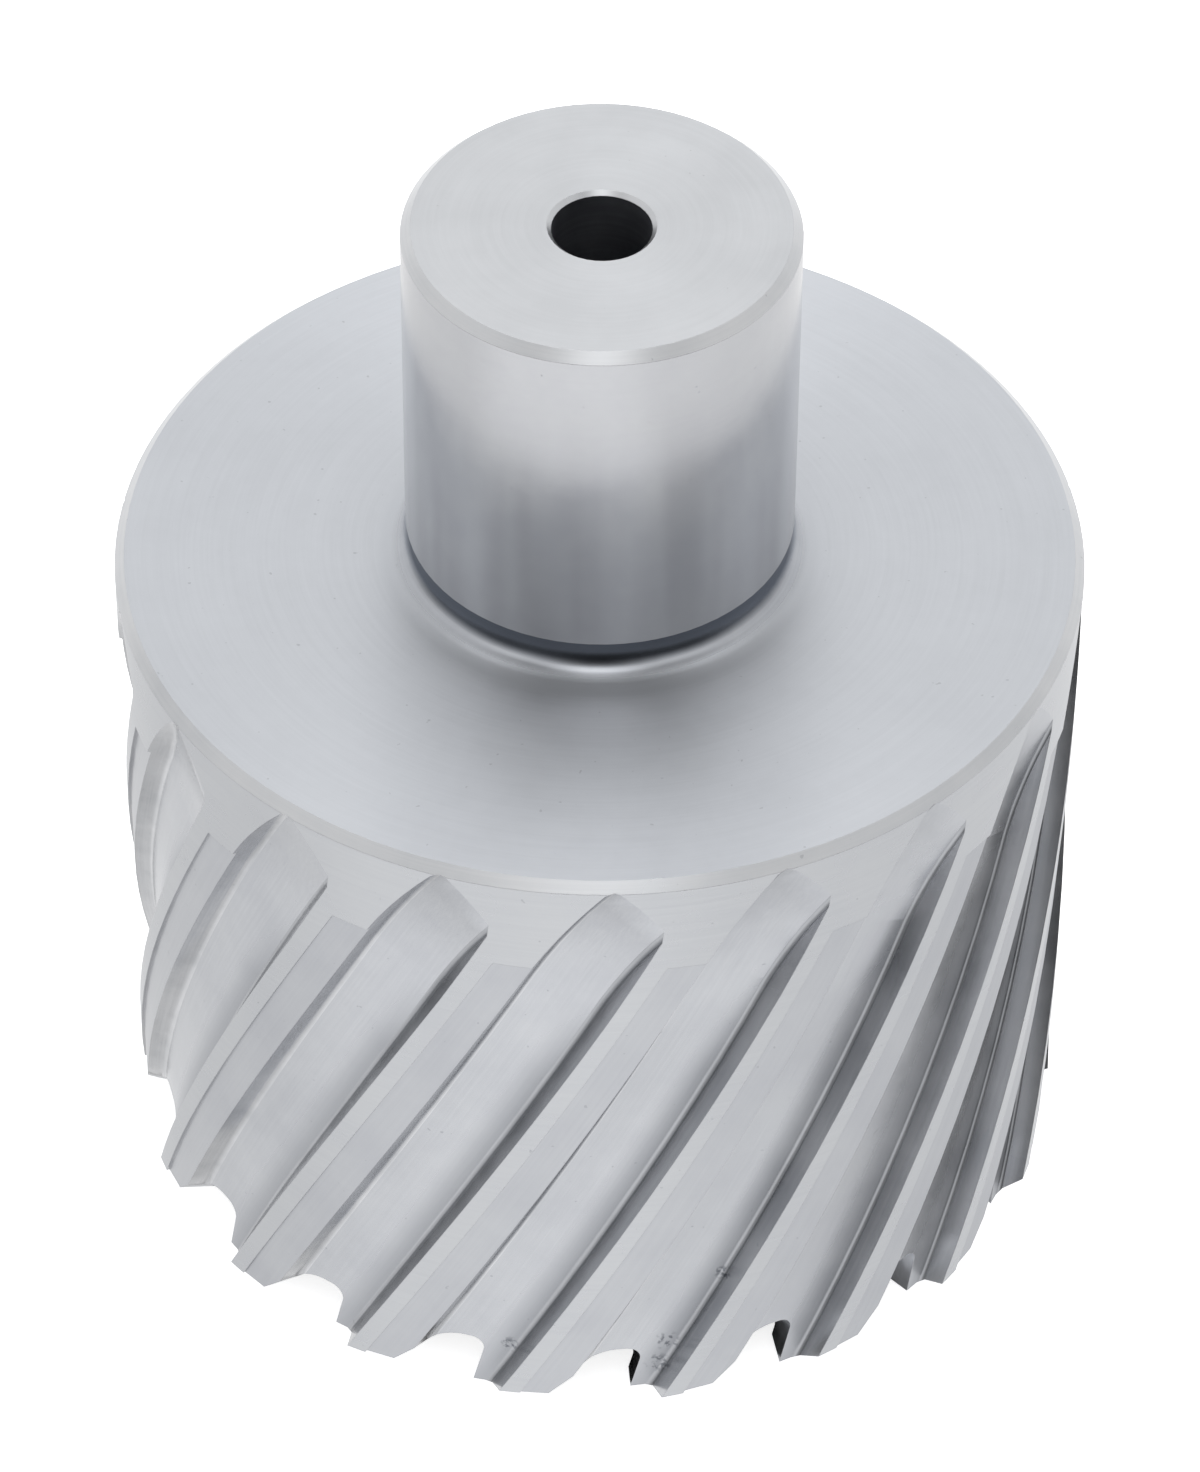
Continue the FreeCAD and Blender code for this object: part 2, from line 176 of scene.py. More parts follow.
# %% Finishes by place and direction
BODY_R, BODY_TOP, TOP = 39.6875, 62.2, 96.0
SHANK_R, CAVITY_R, CAVITY_TOP = 15.875, 35.6875, 54.0
FLUTE_EXIT, NECK_R, FILLET = 49.2, 15.2, 3.1
BORE_MOUTH_R = 4.6     # just past the pilot bore's chamfer
BEVEL = 0.9            # just past the 0.8 mm chamfers
RELIEF_TOP, TIPS_TOP = BODY_TOP - 9, 8
SLACK = 0.01


def finish_of(face):
    """The finish that a face of the cutter has."""
    x, y, height = face.center / MM
    radius = math.hypot(x, y)
    outward = (face.normal.x * x + face.normal.y * y) / radius
    round_axis = (face.normal.y * x - face.normal.x * y) / radius
    up = face.normal.z
    if radius < BORE_MOUTH_R:
        return "chamfer" if up > 0.5 else "bore"
    if height > TOP - BEVEL:
        return "shank_end" if up > 0.9 else "chamfer" if up > 0.5 else "shank"
    if height > BODY_TOP + SLACK and radius > SHANK_R - 0.1 and outward > 0.9:
        return "shank"
    if height > BODY_TOP - SLACK:
        return "neck" if radius < NECK_R + FILLET else "shoulder"
    if up > 0.5 and radius > BODY_R - BEVEL:
        return "chamfer"
    if radius < CAVITY_R and (outward < -0.5 or height > CAVITY_TOP - 2):
        return "cavity"
    if outward > 0.999 and radius > BODY_R - 0.04:
        return "land"
    if outward > 0.99 and radius > BODY_R - 0.4 and height < RELIEF_TOP:
        return "relief"
    if height < TIPS_TOP and up < -0.5:
        return "tip"
    if height > FLUTE_EXIT and outward > 0.9:
        return "run_out"
    if outward > 0.99:
        return "flute_floor"
    if outward > 0.6 and round_axis < -0.2:
        return "flute_root"
    return "flute_wall"


kinds = [finish_of(face) for face in cutter.data.polygons]
print("faces:", {kind: kinds.count(kind) for kind in sorted(set(kinds))})

# %% [markdown]
# ## The lines that a tool leaves
#
# A lathe tool and a cylindrical grinder leave fine rings round the axis. The wheel that cuts the
# flutes leaves fine lines along them. Real lines are 0.02 to 0.05 mm apart, too fine for this
# picture, so they are drawn 0.25 to 0.3 mm apart. They are too shallow to see as steps, but they
# smear each reflection across themselves, which is what the shader calls anisotropy.
#
# A noise that is stretched along the lines draws them. For rings it is read by the distance from
# the axis and the height, and for flutes the place is first turned back by the helix, so that
# every flute stands upright.

# %% Straightening the lines
LEAD = 500.0 * MM
TURN_PER_METRE = 2 * math.pi / LEAD
LINE_LENGTH = 14.0     # how far a line runs before it fades, in millimetres


def unwound(material, place):
    """The place with the flutes' helix taken out of it."""
    height = add(material, "ShaderNodeSeparateXYZ", _0=place).outputs["Z"]
    turn = add(material, "ShaderNodeMath", {"operation": "MULTIPLY"}, _0=height, _1=-TURN_PER_METRE)
    return add(material, "ShaderNodeVectorRotate", {"rotation_type": "Z_AXIS"},
               Vector=place, Angle=turn.outputs[0]).outputs[0]


def line_grain(material, place, lay, fine, slow):
    """Where to read the noise: quickly across the lines and slowly along them."""
    if lay == "flute":
        return add(material, "ShaderNodeVectorMath", {"operation": "MULTIPLY"},
                   _0=unwound(material, place), _1=(fine, fine, slow))
    height = add(material, "ShaderNodeSeparateXYZ", _0=place).outputs["Z"]
    level = add(material, "ShaderNodeVectorMath", {"operation": "MULTIPLY"}, _0=place, _1=(1, 1, 0))
    radius = add(material, "ShaderNodeVectorMath", {"operation": "LENGTH"}, _0=level.outputs[0])
    across = add(material, "ShaderNodeMath", {"operation": "SUBTRACT"},
                 _0=radius.outputs["Value"], _1=height)
    rows = add(material, "ShaderNodeMath", {"operation": "MULTIPLY"}, _0=across.outputs[0], _1=fine)
    wide = add(material, "ShaderNodeVectorMath", {"operation": "SCALE"},
               _0=level.outputs[0], Scale=slow)
    wide = add(material, "ShaderNodeSeparateXYZ", _0=wide.outputs[0])
    return add(material, "ShaderNodeCombineXYZ",
               _0=wide.outputs["X"], _1=wide.outputs["Y"], _2=rows.outputs[0])


def tool_lines(material, place, lay, pitch):
    """The lines as a noise, and their direction."""
    split = add(material, "ShaderNodeSeparateXYZ", _0=place)
    backwards = add(material, "ShaderNodeMath", {"operation": "MULTIPLY"},
                    _0=split.outputs["Y"], _1=-1.0)
    rise = 1 / TURN_PER_METRE if lay == "flute" else 0.0
    along = add(material, "ShaderNodeCombineXYZ",
                _0=backwards.outputs[0], _1=split.outputs["X"], _2=rise)
    direction = add(material, "ShaderNodeVectorMath", {"operation": "NORMALIZE"},
                    _0=along.outputs[0])
    grain = line_grain(material, place, lay, 1 / (pitch * MM), 1 / (LINE_LENGTH * MM))
    lines = add(material, "ShaderNodeTexNoise", Vector=grain.outputs[0],
                Scale=1.0, Detail=3.0, Roughness=0.6)
    return lines.outputs["Fac"], direction.outputs[0]


print("a flute climbs", round(math.degrees(math.atan(LEAD / (2 * math.pi * BODY_R * MM))), 1),
      "degrees")

# %% [markdown]
# ## Steel
#
# High-speed steel is a cool light grey when it is freshly ground, and it hides little: what the
# eye sees is the room, smeared by the tool lines. Under the lines lies a faint cloudiness from the
# coolant and from handling, 8 mm across, and a few specks of 0.6 mm where the wheel tore a grain
# out. Real edges are never quite sharp, so the bevel node rounds them by 0.08 mm, which catches a
# thin line of light. One function makes every steel, so that all faces stay one metal.

# %% Steel
CLOUD, GRIT, WORN_EDGE = 8, 0.6, 0.08         # sizes in millimetres
TONE_LOW, TONE_HIGH = 0.36, 0.64              # nearly all of a noise lies in such a range
CLOUD_LOW, CLOUD_HIGH, POLISH_SPREAD = 0.3, 0.7, 0.03
SPECK_LOW, SPECK_HIGH, SPECK_SHADE = 0.77, 0.8, 0.25      # only the noise's peaks are specks
# Sizes of the shank's upright bands of painted reflection.
BAND_WIDTH, BAND_LENGTH = 6, 70
BAND_LOW, BAND_HIGH = 0.36, 0.62
BANDS_END, BANDS_FULL = 93, 70                # heights in millimetres


def shader_of(material):
    """The shader that a new material starts with."""
    return material.node_tree.nodes["Principled BSDF"]


def painted_reflection_bands(material, place, colour, darkening):
    """The colour with soft upright bands of painted reflection, fading at the shank's end."""
    upright = add(material, "ShaderNodeVectorMath", {"operation": "MULTIPLY"}, _0=place,
                  _1=(1 / (BAND_WIDTH * MM), 1 / (BAND_WIDTH * MM), 1 / (BAND_LENGTH * MM)))
    upright = add(material, "ShaderNodeTexNoise", Vector=upright.outputs[0], Scale=1.0, Detail=2.0)
    height = add(material, "ShaderNodeSeparateXYZ", _0=place).outputs["Z"]
    low = add(material, "ShaderNodeMapRange", _0=height, _1=BANDS_END * MM, _2=BANDS_FULL * MM)
    keep = add(material, "ShaderNodeMapRange", _0=upright.outputs["Fac"],
               _1=BAND_LOW, _2=BAND_HIGH, _3=1.0 - 2 * darkening, _4=1.0)
    keep = add(material, "ShaderNodeMix", _0=low.outputs[0], _2=1.0, _3=keep.outputs[0])
    return add(material, "ShaderNodeMix", {"data_type": "RGBA", "blend_type": "MULTIPLY"}, _0=1.0,
               _6=colour.outputs[2], _7=keep.outputs[0])


def steel(name, lay, roughness, anisotropy, light="#c8cace", dark="#bdbfc4",
          pitch=0.3, depth=0.5, streak=0.3, reflection_bands=0.0):
    """Bare steel. The lines' pitch is in millimetres, and their depth in thousandths of one."""
    material = bpy.data.materials.new(name)
    material.use_nodes = True
    place = add(material, "ShaderNodeTexCoord").outputs["Object"]
    lines, direction = tool_lines(material, place, lay, pitch)
    cloud = add(material, "ShaderNodeTexNoise", Vector=place, Scale=1 / (CLOUD * MM), Detail=4.0,
                Roughness=0.6).outputs["Fac"]
    both = add(material, "ShaderNodeMix", _0=streak, _2=cloud, _3=lines)
    tone = add(material, "ShaderNodeMapRange", _0=both.outputs[0], _1=TONE_LOW, _2=TONE_HIGH)
    colour = add(material, "ShaderNodeMix", {"data_type": "RGBA"},
                 _0=tone.outputs[0], _6=linear(dark), _7=linear(light))
    # Painted reflection: upright bands darken the colour in streaks.
    if reflection_bands:
        colour = painted_reflection_bands(material, place, colour, reflection_bands)
    grit = add(material, "ShaderNodeTexNoise", Vector=place, Scale=1 / (GRIT * MM), Detail=1.0)
    speck = add(material, "ShaderNodeMapRange", _0=grit.outputs["Fac"],
                _1=SPECK_LOW, _2=SPECK_HIGH, _3=0.0, _4=SPECK_SHADE)
    colour = add(material, "ShaderNodeMix", {"data_type": "RGBA"},
                 _0=speck.outputs[0], _6=colour.outputs[2], _7=linear("#6f7278"))
    polish = add(material, "ShaderNodeMapRange", _0=cloud, _1=CLOUD_LOW, _2=CLOUD_HIGH,
                 _3=roughness - POLISH_SPREAD, _4=roughness + POLISH_SPREAD)
    worn_edge = add(material, "ShaderNodeBevel", {"samples": 4}, Radius=WORN_EDGE * MM)
    relief = add(material, "ShaderNodeBump", Strength=1.0, Distance=depth * 0.001 * MM,
                 Height=lines, Normal=worn_edge.outputs[0])
    # A quarter turn, because the shader smears along its tangent and lines smear across theirs.
    fill(material, shader_of(material), Metallic=1.0, Anisotropic=anisotropy,
         Anisotropic_Rotation=0.25, Base_Color=colour.outputs[2], Roughness=polish.outputs[0],
         Normal=relief.outputs[0], Tangent=direction)
    return material


# %% [markdown]
# ## The finishes
#
# The shank end and the shoulder are faced on a lathe, and the bevels are turned. The shank and the
# margins are ground round. The flutes, with all that is in them, are ground along their helix. The
# inside is turned, and the pilot bore drilled. The roughness says how sharp a reflection stays,
# and the anisotropy how far it is smeared one way.

# %% Finishes of the turned and round-ground faces
finishes = {
    # Faced with a light cut: satin and even, with hardly any direction.
    "shank_end": steel("faced_end", "round", 0.38, 0.25, "#cbcdd0", "#c3c5c8", depth=0.3),
    # Ground round: a gleam that is drawn out up and down and stays sharp from side to side,
    # with soft upright bands of painted reflection.
    "shank": steel("ground_shank", "round", 0.15, 0.9, "#c8c9cc", "#c0c1c5",
                   depth=0.07, streak=0.12, reflection_bands=0.12),
    # Turned bevels: each rim gets a thin pale line.
    "chamfer": steel("turned_chamfer", "round", 0.3, 0.3, "#dcdddf", "#cfd1d4"),
    # A turned hollow that was hardened and not ground after it: a shade darker and bluer.
    "neck": steel("hardened_neck", "round", 0.17, 0.85, "#bbbec3", "#b1b4ba", depth=0.15),
    # Faced on the lathe: satin, with rings that draw the light out into a soft fan.
    "shoulder": steel("faced_shoulder", "round", 0.42, 0.85, "#d3d6db", "#cbced3", depth=0.4),
    # The margin behind each cutting edge, ground to the full diameter: clean and bright.
    "land": steel("ground_land", "round", 0.28, 0.7, "#cacccf", "#c1c3c7", depth=0.4),
}
print("finishes in rings:", len(finishes))

# %% Finishes of the faces ground along the helix
finishes |= {
    # Ground back behind the margin: a shade darker and flatter than the margin beside it.
    "relief": steel("relieved_land", "flute", 0.32, 0.6, "#c1c3c7", "#b7b9be", depth=0.3),
    # The floor of the flute, cut by the wheel's face: bright, with lines that run down it.
    "flute_floor": steel("ground_flute", "flute", 0.24, 0.6, pitch=0.25, depth=0.3),
    # The rake and heel walls, cut by the wheel's flank: streaky, and dark from the front, because
    # there they mirror the flute's floor and not the tent.
    "flute_wall": steel("ground_wall", "flute", 0.24, 0.6, "#dedfe2", "#c4c6ca", pitch=0.25),
    # The foot of the rake wall: a dull line, darker than the floor beside it.
    "flute_root": steel("ground_root", "flute", 0.3, 0.6, "#b7b9bd", "#a5a7ab", pitch=0.25),
    # Where the wheel lifted out: as the floor, and a little more matt.
    "run_out": steel("wheel_run_out", "flute", 0.26, 0.5, pitch=0.25, depth=0.3),
}
print("with the flutes:", len(finishes))

# %% Finishes of the tips and the inside
finishes |= {
    # Tooth tips, sharpened last of all: bright and even.
    "tip": steel("sharpened_tip", "round", 0.3, 0.3),
    # The hollow inside, left as the lathe turned it: dull, and dark with painted shade.
    "cavity": steel("turned_cavity", "round", 0.45, 0.5, "#85888f", "#6c6f77"),
    # The pilot bore, drilled through: a middle grey of painted shade that darkens as it goes deep.
    "bore": steel("drilled_bore", "round", 0.4, 0.5, "#a4a6ac", "#8b8d94"),
}
print("all finishes:", len(finishes))

# %% [markdown]
# ## The groove under the shank
#
# The groove under the shank's overhang gets a blue-grey painted shade, which draws the dark
# line under the shank. Lower down the hollow turns bright, and at its foot it is as matt and pale
# as the shoulder that it runs into. All three follow the height alone, so the neck's steel is
# mixed by height and needs no mask.


# %% Mixing the neck by height
def now_on(material, name):
    """The output that feeds one of the shader's inputs so far."""
    return shader_of(material).inputs[name].links[0].from_socket


FOOT_TO_HOLLOW = (BODY_TOP, 62.9)
HOLLOW_TO_PAINTED_SHADE = (63.25, 63.8)
MATT_TO_BRIGHT = (62.3, 63.0)

neck = finishes["neck"]
place = add(neck, "ShaderNodeTexCoord").outputs["Object"]
height = add(neck, "ShaderNodeSeparateXYZ", _0=place).outputs["Z"]
hollow = add(neck, "ShaderNodeMapRange", _0=height,
             _1=FOOT_TO_HOLLOW[0] * MM, _2=FOOT_TO_HOLLOW[1] * MM)
bare = add(neck, "ShaderNodeMix", {"data_type": "RGBA"}, _0=hollow.outputs[0],
           _6=linear("#cfd2d7"), _7=now_on(neck, "Base Color"))
# Painted shade: the colour turns dark blue-grey high in the groove, under the shank's overhang.
painted_groove_shade = add(neck, "ShaderNodeMapRange", _0=height,
           _1=HOLLOW_TO_PAINTED_SHADE[0] * MM, _2=HOLLOW_TO_PAINTED_SHADE[1] * MM)
colour = add(neck, "ShaderNodeMix", {"data_type": "RGBA"}, _0=painted_groove_shade.outputs[0],
             _6=bare.outputs[2], _7=linear("#6b7079"))
matt = add(neck, "ShaderNodeMapRange", _0=height,
           _1=MATT_TO_BRIGHT[0] * MM, _2=MATT_TO_BRIGHT[1] * MM, _3=0.42, _4=0.17)
fill(neck, shader_of(neck), Base_Color=colour.outputs[2], Roughness=matt.outputs[0])
print("dark skin from", HOLLOW_TO_PAINTED_SHADE[1], "mm up")

# %% [markdown]
# ## The root of each flute
#
# The floor gets duller from its middle to the rake wall, and darker there with a painted
# reflection of the dark rake wall. A soft ramp across each flute draws that. With the helix taken
# out, all eighteen flutes stand upright, 20 degrees apart. The angle round the axis, counted in
# flutes and without its whole part, then runs from 0 to 1 over each of them, so one ramp does them
# all. It fades out below the run-out, where the wheel begins to lift.

# %% Duller, and darker by painted reflection, towards the rake wall
FLUTES = 18
PITCH = 360 / FLUTES
FLUTE_MIDDLE = 1.2                 # degrees from the front, once the helix is taken out
REFLECTION_FROM, REFLECTION_TO = 0.5, 0.75     # shares of the pitch, where 0.5 is a flute's middle
ROOT_MATT, REFLECTION_SHADE = 0.2, 0.35  # how much rougher, and how much darker by painted reflection, the rake side gets
FADE_FROM, FADE_TO = 48, 38        # heights in millimetres

floor_steel = finishes["flute_floor"]
place = add(floor_steel, "ShaderNodeTexCoord").outputs["Object"]
split = add(floor_steel, "ShaderNodeSeparateXYZ", _0=unwound(floor_steel, place))
behind = add(floor_steel, "ShaderNodeMath", {"operation": "MULTIPLY"},
             _0=split.outputs["Y"], _1=-1.0)
angle = add(floor_steel, "ShaderNodeMath", {"operation": "ARCTAN2"},
            _0=split.outputs["X"], _1=behind.outputs[0])
turns = add(floor_steel, "ShaderNodeMath", {"operation": "MULTIPLY_ADD"}, _0=angle.outputs[0],
            _1=FLUTES / (2 * math.pi), _2=0.5 - FLUTE_MIDDLE / PITCH + FLUTES / 2)
across = add(floor_steel, "ShaderNodeMath", {"operation": "FRACT"}, _0=turns.outputs[0])
rake_reflection = add(floor_steel, "ShaderNodeMapRange", {"interpolation_type": "SMOOTHSTEP"},
           _0=across.outputs[0], _1=REFLECTION_FROM, _2=REFLECTION_TO)
below = add(floor_steel, "ShaderNodeMapRange", _0=split.outputs["Z"],
            _1=FADE_FROM * MM, _2=FADE_TO * MM)
rake_reflection = add(floor_steel, "ShaderNodeMath", {"operation": "MULTIPLY"},
           _0=rake_reflection.outputs[0], _1=below.outputs[0])
duller = add(floor_steel, "ShaderNodeMath", {"operation": "MULTIPLY_ADD"},
             _0=rake_reflection.outputs[0], _1=ROOT_MATT, _2=now_on(floor_steel, "Roughness"))
shade = add(floor_steel, "ShaderNodeMath", {"operation": "MULTIPLY"},
            _0=rake_reflection.outputs[0], _1=REFLECTION_SHADE)
# Painted reflection: the floor's colour darkens towards the rake wall.
darker = add(floor_steel, "ShaderNodeMix", {"data_type": "RGBA"}, _0=shade.outputs[0],
             _6=now_on(floor_steel, "Base Color"), _7=linear("#85888e"))
fill(floor_steel, shader_of(floor_steel), Base_Color=darker.outputs[2],
     Roughness=duller.outputs[0])
print("worn over", round((REFLECTION_TO - REFLECTION_FROM) * PITCH, 1), "degrees of each flute")

# %% [markdown]
# ## Torn burrs
#
# Near the tips a few spots were caught by a chip or by the wheel, and stand torn and dull. They
# are a millimetre across and a few hundredths deep, so they are bump and colour, not mesh. A ball
# round each spot says where the torn noise may show.

# %% Marks near the tips
# Place in millimetres, and how far the mark reaches.
MARKS = ((-7.1, -37.25, 5.3, 1.0), (5.3, -37.5, 3.4, 1.3), (6.1, -37.4, 6.0, 1.3),
         (10.6, -36.5, 13.75, 0.9))
TEAR, TEAR_DEPTH = 0.45, 0.04

for finish in (finishes["flute_floor"], finishes["flute_wall"], finishes["flute_root"]):
    place = add(finish, "ShaderNodeTexCoord").outputs["Object"]
    mask = 0.0
    for x, y, z, reach in MARKS:
        away = add(finish, "ShaderNodeVectorMath", {"operation": "DISTANCE"},
                   _0=place, _1=(x * MM, y * MM, z * MM))
        near = add(finish, "ShaderNodeMapRange", _0=away.outputs["Value"],
                   _1=reach * MM, _2=0.4 * reach * MM)
        mask = add(finish, "ShaderNodeMath", {"operation": "MAXIMUM"},
                   _0=near.outputs[0], _1=mask).outputs[0]
    torn = add(finish, "ShaderNodeTexNoise", Vector=place, Scale=1 / (TEAR * MM), Detail=2.0)
    worst = add(finish, "ShaderNodeMapRange", _0=torn.outputs["Fac"], _1=0.5, _2=0.6)
    worst = add(finish, "ShaderNodeMath", {"operation": "MULTIPLY"}, _0=worst.outputs[0], _1=mask)
    dull = add(finish, "ShaderNodeMix", {"data_type": "RGBA"}, _0=worst.outputs[0],
               _6=now_on(finish, "Base Color"), _7=linear("#7c7f85"))
    rough = add(finish, "ShaderNodeBump", Strength=mask, Distance=TEAR_DEPTH * MM,
                Height=torn.outputs["Fac"], Normal=now_on(finish, "Normal"))
    fill(finish, shader_of(finish), Base_Color=dull.outputs[2], Normal=rough.outputs[0])
print("marks:", len(MARKS))

# %% [markdown]
# ## Finishes on the faces, and which edges are soft
#
# Each face gets its finish. Inside a flute the wheel's rounded corners leave soft bends rather
# than edges, so bends of under 50 degrees between ground flute faces are smoothed. Weighted
# normals then let the large faces keep their own direction, so that nothing looks pillowed.

# %% Assigning the finishes
cutter.data.materials.clear()
for material in finishes.values():
    cutter.data.materials.append(material)
order = list(finishes)
for face, kind in zip(cutter.data.polygons, kinds):
    face.material_index = order.index(kind)
for index, kind in enumerate(order):
    area = sum(face.area for face in cutter.data.polygons if face.material_index == index)
    print(f"{kind}: {area / MM ** 2:.0f} mm2")

# %% Soft bends in the flutes
SOFT_BEND = math.radians(50)

mesh = bmesh.new()
mesh.from_mesh(cutter.data)
flute = {order.index(kind) for kind in ("flute_floor", "flute_wall", "flute_root", "run_out")}
softened = 0
for edge in mesh.edges:
    if len(edge.link_faces) == 2 and all(face.material_index in flute for face in edge.link_faces):
        if not edge.smooth and edge.calc_face_angle() < SOFT_BEND:
            edge.smooth = True
            softened += 1
mesh.to_mesh(cutter.data)
mesh.free()
weighted = cutter.modifiers.new("weighted_normals", "WEIGHTED_NORMAL")
weighted.keep_sharp = True
bpy.ops.object.modifier_apply(modifier="weighted_normals")
print("softened edges:", softened)

# %% [markdown]
# ## True directions
#
# The mesh is triangles, and a mirror-like metal shows each one. The real surfaces are known,
# though: the shank and the margins are cylinders, the shoulder is flat, the hollow is an arc, and
# each flute is a helix. So every corner is given the direction that the true surface has there,
# and no face has to be added.
#
# Two directions follow the photo more than the solid. The foot of the hollow eases into the
# shoulder without an edge, and below its run-out the flute's floor reflects as if it leaned a few
# degrees towards the rake wall.

# %% The direction of each surface
UP = Vector((0, 0, 1))
RAKE_WALL = (0.05, -0.89, 0.44)     # how far the rake wall faces outward, round the axis and up
FLOOR_MIDDLE, FLOOR_HEIGHT = 22.8, 30     # azimuth of a floor's middle at that height
FLOOR_LEAN, LEAN_RISE = 5.2, 8      # degrees, reached over so many millimetres


def hollow_direction(out, radius, height):
    """The direction of the hollow, which eases into the shoulder at its foot."""
    tilt = math.atan2(NECK_R + FILLET - radius, BODY_TOP + FILLET - height)
    tilt = min(tilt, tilt ** 2 / math.radians(45))
    return out * math.sin(tilt) + UP * math.cos(tilt)


def floor_direction(x, y, height, out, round_axis):
    """The direction of a flute's floor, which is flat from side to side."""
    lean = FLOOR_LEAN * min((FLUTE_EXIT - height) / LEAN_RISE, 1)
    helix = (height - FLOOR_HEIGHT) * MM * TURN_PER_METRE
    turned = math.degrees(math.atan2(x, -y) - helix) - FLOOR_MIDDLE
    off = math.radians((turned + PITCH / 2) % PITCH - PITCH / 2 - lean)
    climb = math.hypot(x, y) * math.sin(off) * MM * TURN_PER_METRE
    return (out * math.cos(off) - round_axis * math.sin(off) + UP * climb).normalized()


def true_direction(kind, place, found):
    """The direction of the surface at a place in millimetres, or the one found on the mesh."""
    x, y, height = place
    radius = math.hypot(x, y)
    out = Vector((x / radius, y / radius, 0))
    round_axis = Vector((-out.y, out.x, 0))
    if kind in ("shank", "land"):
        return out
    if kind in ("shank_end", "shoulder"):
        return UP
    if kind == "neck" and height < BODY_TOP + FILLET + SLACK:
        return hollow_direction(out, radius, height)
    if kind in ("flute_wall", "flute_root") and found.dot(round_axis) < -0.45:
        outward, sideways, up = RAKE_WALL
        return (outward * out + sideways * round_axis + up * UP).normalized()
    in_flute = kind in ("flute_floor", "flute_wall", "flute_root") and height < FLUTE_EXIT
    if in_flute and found.dot(out) > 0.85:
        return floor_direction(x, y, height, out, round_axis)
    return found


# %% Setting the directions
directions = [Vector(corner.vector) for corner in cutter.data.corner_normals]
changed = 0
for face in cutter.data.polygons:
    for corner in face.loop_indices:
        place = cutter.data.vertices[cutter.data.loops[corner].vertex_index].co / MM
        true = true_direction(order[face.material_index], place, directions[corner])
        changed += true.angle(directions[corner]) > math.radians(0.1)
        directions[corner] = true
cutter.data.normals_split_custom_set(directions)
print("corners turned:", changed, "of", len(directions))

# %% [markdown]
# ## The floor
#
# The photo is a catalogue picture on pure white. A wide sheet of white paper that glows a little
# gives the same, with no horizon and hardly a shadow. The steel doesn't mirror it, because in such
# a picture the steel mirrors the light tent, which goes on below the table's edge.


# %% White paper
def card(name, light, dark, glow=0.0):
    """Matt card. Real paper fibre is finer than the 1.5 mm drawn here, which would not show."""
    material = bpy.data.materials.new(name)
    material.use_nodes = True
    place = add(material, "ShaderNodeTexCoord").outputs["Object"]
    fibre = add(material, "ShaderNodeTexNoise", Vector=place, Scale=1 / (1.5 * MM), Detail=3.0)
    tone = add(material, "ShaderNodeMix", {"data_type": "RGBA"},
               _0=fibre.outputs["Fac"], _6=linear(dark), _7=linear(light))
    fill(material, shader_of(material), Base_Color=tone.outputs[2], Roughness=0.9,
         Emission_Color=linear("#ffffff"), Emission_Strength=glow)
    return material


bpy.ops.mesh.primitive_plane_add(size=6, location=(0, 0, -0.02 * MM))
floor = bpy.context.object
floor.name = "floor"
floor.visible_glossy = False
# Coated paper: matt, and so pale that its fibre is only felt.
floor.data.materials.append(card("white_paper", "#fbfbfb", "#f5f5f5", glow=0.8))
print("floor:", [round(side, 2) for side in floor.dimensions[:2]], "m")

# %% [markdown]
# ## The dark under the cutter
#
# On a real table hardly any light gets under the cutter, so the faces in the gullets are nearly
# black. A black card as wide as the cavity, seen by reflections alone, is painted shade: it stands
# in for the shade under the cutter and keeps the bright tent from shining up through the open end.

# %% Black card of painted shade
CARD_R = 36.5 * MM

bpy.ops.mesh.primitive_circle_add(vertices=72, radius=CARD_R, fill_type="NGON",
                                  location=(0, 0, -0.01 * MM))
painted_shade_sheet = bpy.context.object
painted_shade_sheet.name = "painted_shade_card"
painted_shade_sheet.visible_camera = painted_shade_sheet.visible_diffuse = painted_shade_sheet.visible_shadow = False
# A sheet of painted shade, seen only in reflections: it swallows nearly all light.
painted_shade_sheet.data.materials.append(card("painted_shade_card", "#202124", "#18191b"))
print("card:", round(CARD_R / MM, 1), "mm in radius")

# %% [markdown]
# ## The light tent
#
# Shiny metal is lit by what it mirrors, so lamps alone would leave it black between their
# highlights. A photographer puts it in a tent of white cloth, with dark gaps that draw its edges.
# Here the tent is the world's light: eight walls, each with its own brightness from below to
# above. The front wall has a dark gap at eye level, which draws a dark ring into the hollow, and a
# bright panel above it, which lights the bevels. The back walls are brightest high up. Where the
# camera looks past the cutter it sees plain white, as in the photo.

